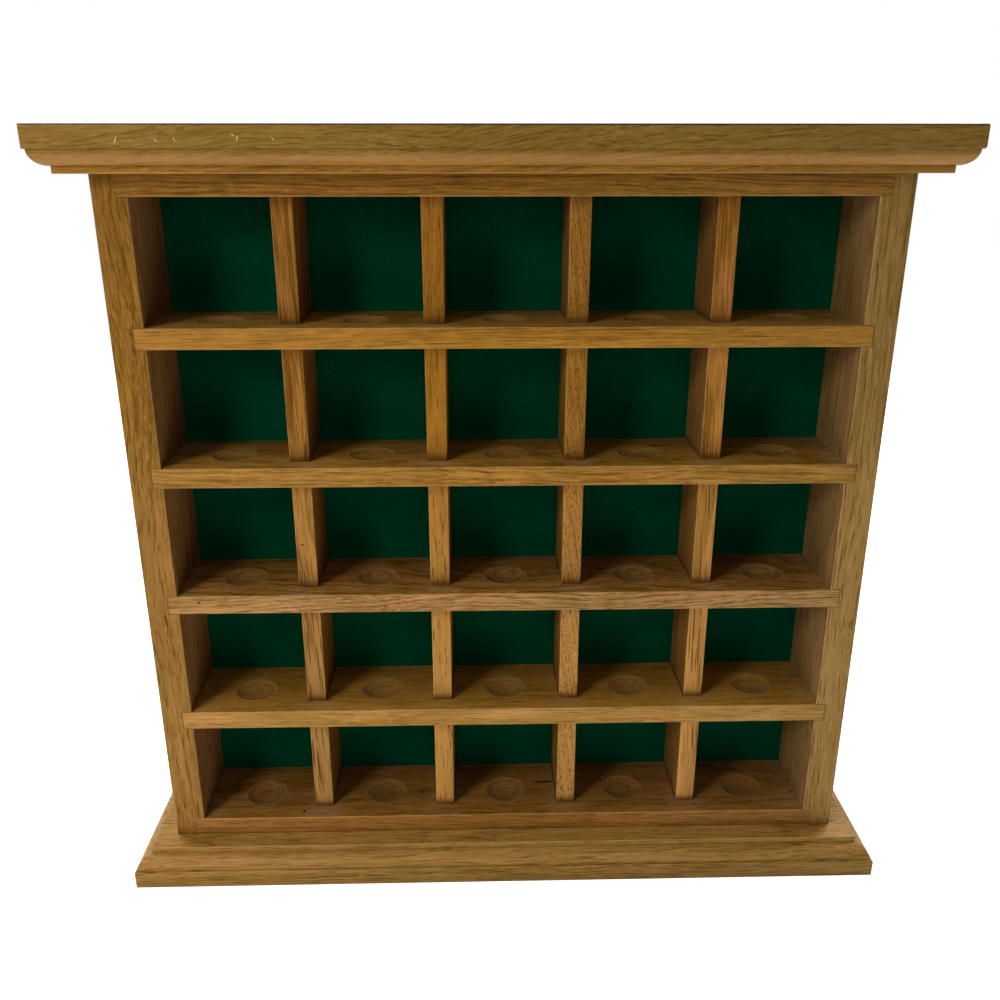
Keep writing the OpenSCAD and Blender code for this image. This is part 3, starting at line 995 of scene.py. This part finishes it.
def plywood():
    """Bare rotary-cut plywood with upright face grain."""
    material, tree, shader = new_material("plywood")
    place = mm_place(tree)
    figure = noise(tree, place, **PLY_FIGURE)
    bands = calc(tree, "SINE", calc(tree, "MULTIPLY", figure, PLY_BANDS))
    fibres = noise(tree, place, **PLY_FIBRES)
    colour = mix(tree, step(tree, bands, -1.0, 1.0, 0.0, 0.7), PLY_PALE, PLY_WARM)
    colour = mix(tree, step(tree, fibres, 0.45, 0.8, 0.0, 0.5), colour, PLY_DARK)
    finish(shader, {
        "Base Color": colour,
        "Roughness": 0.75,
        "Normal": relief(tree, fibres, strength=0.5, depth_mm=0.1),
        "Specular IOR Level": 0.25,
    })
    return material


dress("back_panel", plywood())
low, high = box_mm("back_panel")
print("the plywood is thick, in mm:", round(high.y - low.y, 1))

# %% [markdown]
# ## Screws and pins
# They are zinc-plated steel, passivated yellow. The film is uneven, so its tint drifts
# between straw and a faint rose, and handling dulls it in patches.

# %% Plated steel
STRAW = paint(214, 190, 128)
FAINT_ROSE = paint(198, 172, 150)
TINT_DRIFT = dict(scale=(0.35, 0.35, 0.35), detail=3.0, roughness=0.55)
DULL_PATCHES = dict(scale=(1, 1, 1))
STEEL_ROUGHNESS = (0.25, 0.42)
FITTINGS = ("base_screws", "top_screws", "back_pins")


def plated_steel():
    """Yellow-passivated zinc plating."""
    material, tree, shader = new_material("plated_steel")
    place = mm_place(tree)
    tint = step(tree, noise(tree, place, **TINT_DRIFT), 0.35, 0.65)
    dull = step(tree, noise(tree, place, **DULL_PATCHES), 0.3, 0.7, *STEEL_ROUGHNESS)
    colour = mix(tree, tint, STRAW, FAINT_ROSE)
    finish(shader, {"Base Color": colour, "Roughness": dull, "Metallic": 1.0})
    return material


steel = plated_steel()
for name in FITTINGS:
    dress(name, steel)
print("in plated steel:", ", ".join(FITTINGS))

# %% [markdown]
# ## The felt
# Felt is pressed wool, so it has no weave: only short fibres that lie every way. It is
# stretched flat and glued to the back panel, and the boards press on it along their back
# edges, so it stands a little proud in the middle of each compartment. Nothing hangs or
# folds, so the sheet can be a grid that is raised by a formula.

# %% Make the felt sheet
low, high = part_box("felt_lining")
FELT_SIZE = (high.x - low.x, high.z - low.z)
FELT_T = 0.8 * MM
SWELL = 0.15 * MM
CELLS_ACROSS = 5
GRID_STEPS = 100


def new_piece(name, shape):
    """Makes an object of a bmesh, which is then freed."""
    mesh = bpy.data.meshes.new(name)
    shape.to_mesh(mesh)
    shape.free()
    return add_object(name, mesh)


sheet = bmesh.new()
bmesh.ops.create_grid(sheet, x_segments=GRID_STEPS, y_segments=GRID_STEPS, size=0.5)
bmesh.ops.scale(sheet, verts=sheet.verts, vec=(FELT_SIZE[0], FELT_SIZE[1], 1))
bmesh.ops.rotate(sheet, verts=sheet.verts, matrix=Matrix.Rotation(math.pi / 2, 3, "X"))
for vert in sheet.verts:
    across = abs(math.cos(math.pi * CELLS_ACROSS * vert.co.x / FELT_SIZE[0]))
    upward = abs(math.cos(math.pi * CELLS_ACROSS * vert.co.z / FELT_SIZE[1]))
    vert.co.y -= SWELL * math.sqrt(across * upward)
bmesh.ops.translate(sheet, verts=sheet.verts, vec=(0, low.y + SWELL, (low.z + high.z) / 2))
felt = new_piece("felt", sheet)
thickness = felt.modifiers.new("thickness", "SOLIDIFY")
thickness.thickness = FELT_T
thickness.offset = -1.0
print("felt, flat, in mm:", [round(side / MM, 1) for side in FELT_SIZE])

# %% [markdown]
# The felt's colour is a deep bottle green. Short fibres catch the light, which is a fine
# noise in colour and height. Slow patches stand for the pressing, which is never even.

# %% Felt material
FELT_DEEP = paint(1, 55, 33)
FELT_BRIGHT = paint(1, 72, 43)
FELT_PRESSED = paint(1, 48, 31)
FUZZ = dict(scale=(2.4, 2.4, 2.4), detail=3.0, roughness=0.65)
PRESSING = dict(scale=(0.05, 0.05, 0.05))
PRESSED_SHARE = 0.3


def felt_cloth():
    """Dark green pressed felt."""
    material, tree, shader = new_material("green_felt")
    place = mm_place(tree)
    fuzz = noise(tree, place, **FUZZ)
    pressed = step(tree, noise(tree, place, **PRESSING), 0.3, 0.7, 0.0, PRESSED_SHARE)
    colour = mix(tree, step(tree, fuzz, 0.3, 0.7), FELT_DEEP, FELT_BRIGHT)
    finish(shader, {
        "Base Color": mix(tree, pressed, colour, FELT_PRESSED),
        "Roughness": 0.95,
        "Normal": relief(tree, fuzz, strength=0.8, depth_mm=0.25),
        "Specular IOR Level": 0.0,
    })
    return material


felt.data.materials.append(felt_cloth())
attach(felt, "root")
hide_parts("felt_lining")
print("felt thickness, in mm:", round(FELT_T / MM, 2))

# %% [markdown]
# ## The studio
# The case stands on a plain white floor. A floor that is white to the camera could be
# lit hard, but that would bleach the wood. Light Path lets the floor be white to the
# camera and in reflections, while it lights the object as plain paint. The lift grows a
# little with the distance, where the lamps reach less, so that no horizon shows. The
# world is white to the camera too, and gives no light of its own.

# %% Floor and surroundings
WHITE = (1, 1, 1, 1)
FLOOR_PAINT = (0.85, 0.85, 0.85, 1)
FLOOR_SIZE = 6
LIFT_REACH = (0.4, 1.2)
LIFT = (0.9, 1.0)


def seen(tree):
    """1 for rays that show a surface directly, in a mirror or through glass."""
    path = node(tree, "LightPath").outputs
    shown = calc(tree, "MAXIMUM", path["Is Camera Ray"], path["Is Glossy Ray"])
    return calc(tree, "MAXIMUM", shown, path["Is Transmission Ray"])


def white_floor():
    """Matt white paint that looks white wherever no shadow falls on it."""
    material, tree, shader = new_material("floor")
    away = vector(tree, "LENGTH", node(tree, "TexCoord").outputs["Object"], output="Value")
    lift = step(tree, away, *LIFT_REACH, *LIFT)
    finish(shader, {
        "Base Color": FLOOR_PAINT,
        "Roughness": 0.9,
        "Specular IOR Level": 0.0,
        "Emission Color": WHITE,
        "Emission Strength": calc(tree, "MULTIPLY", seen(tree), lift),
    })
    return material


ground = bmesh.new()
bmesh.ops.create_grid(ground, x_segments=1, y_segments=1, size=FLOOR_SIZE)
floor = new_piece("floor", ground)
floor.data.materials.append(white_floor())

world = bpy.data.worlds.new("studio")
world.use_nodes = True
bpy.context.scene.world = world
background = world.node_tree.nodes["Background"]
finish(background, {"Color": WHITE, "Strength": seen(world.node_tree)})
print("the floor reaches, in metres:", round(floor.dimensions.x / 2, 1))

# %% [markdown]
# The shadows on the felt and the way each board turns pale or dark fix the lamps. The
# main light is a window to the left, a little above the case, with a second one high
# beside it. A faint light comes from near the camera, two stand behind the case and light
# the ends of the base board, and a white table in front throws light up from below.
# A level of 1 would make a white sheet that faces the lamp just white.

# %% The lamps
AIM = Vector((0, 0, 0.18))
LAMPS = {
    "window": dict(turn=41, rise=30, distance=0.9, width=0.2, level=0.36),
    "high_window": dict(turn=64, rise=62, distance=0.8, width=0.3, level=0.36),
    "room": dict(turn=0, rise=20, distance=1.2, width=0.3, level=0.12),
    "back_left": dict(turn=130, rise=35, distance=1.2, width=0.6, level=0.8),
    "back_right": dict(turn=-130, rise=35, distance=1.2, width=0.6, level=0.9),
}
TABLE = dict(width=1.2, depth=0.49, near=-0.06, level=0.95)


def new_lamp(name, width, depth):
    """A rectangular lamp, still without power."""
    lamp = add_object(name, bpy.data.lights.new(name, "AREA"))
    lamp.data.shape = "RECTANGLE"
    lamp.data.size = width
    lamp.data.size_y = depth
    return lamp


for name, stand in LAMPS.items():
    lamp = new_lamp(name, stand["width"], stand["width"])
    turn, rise = math.radians(stand["turn"]), math.radians(stand["rise"])
    level_part = math.cos(rise)
    away = Vector((-level_part * math.sin(turn), -level_part * math.cos(turn), math.sin(rise)))
    lamp.location = AIM + stand["distance"] * away
    lamp.rotation_euler = away.to_track_quat("Z", "Y").to_euler()
    lamp.data.energy = stand["level"] * (math.pi * stand["distance"]) ** 2

table = new_lamp("table", TABLE["width"], TABLE["depth"])
table.location = (0, TABLE["near"] - TABLE["depth"] / 2, MM)
table.rotation_euler = (math.pi, 0, 0)
table.data.energy = TABLE["level"] * math.pi * TABLE["width"] * TABLE["depth"]
table.visible_glossy = False
print("lamps:", ", ".join(LAMPS), "and the table")
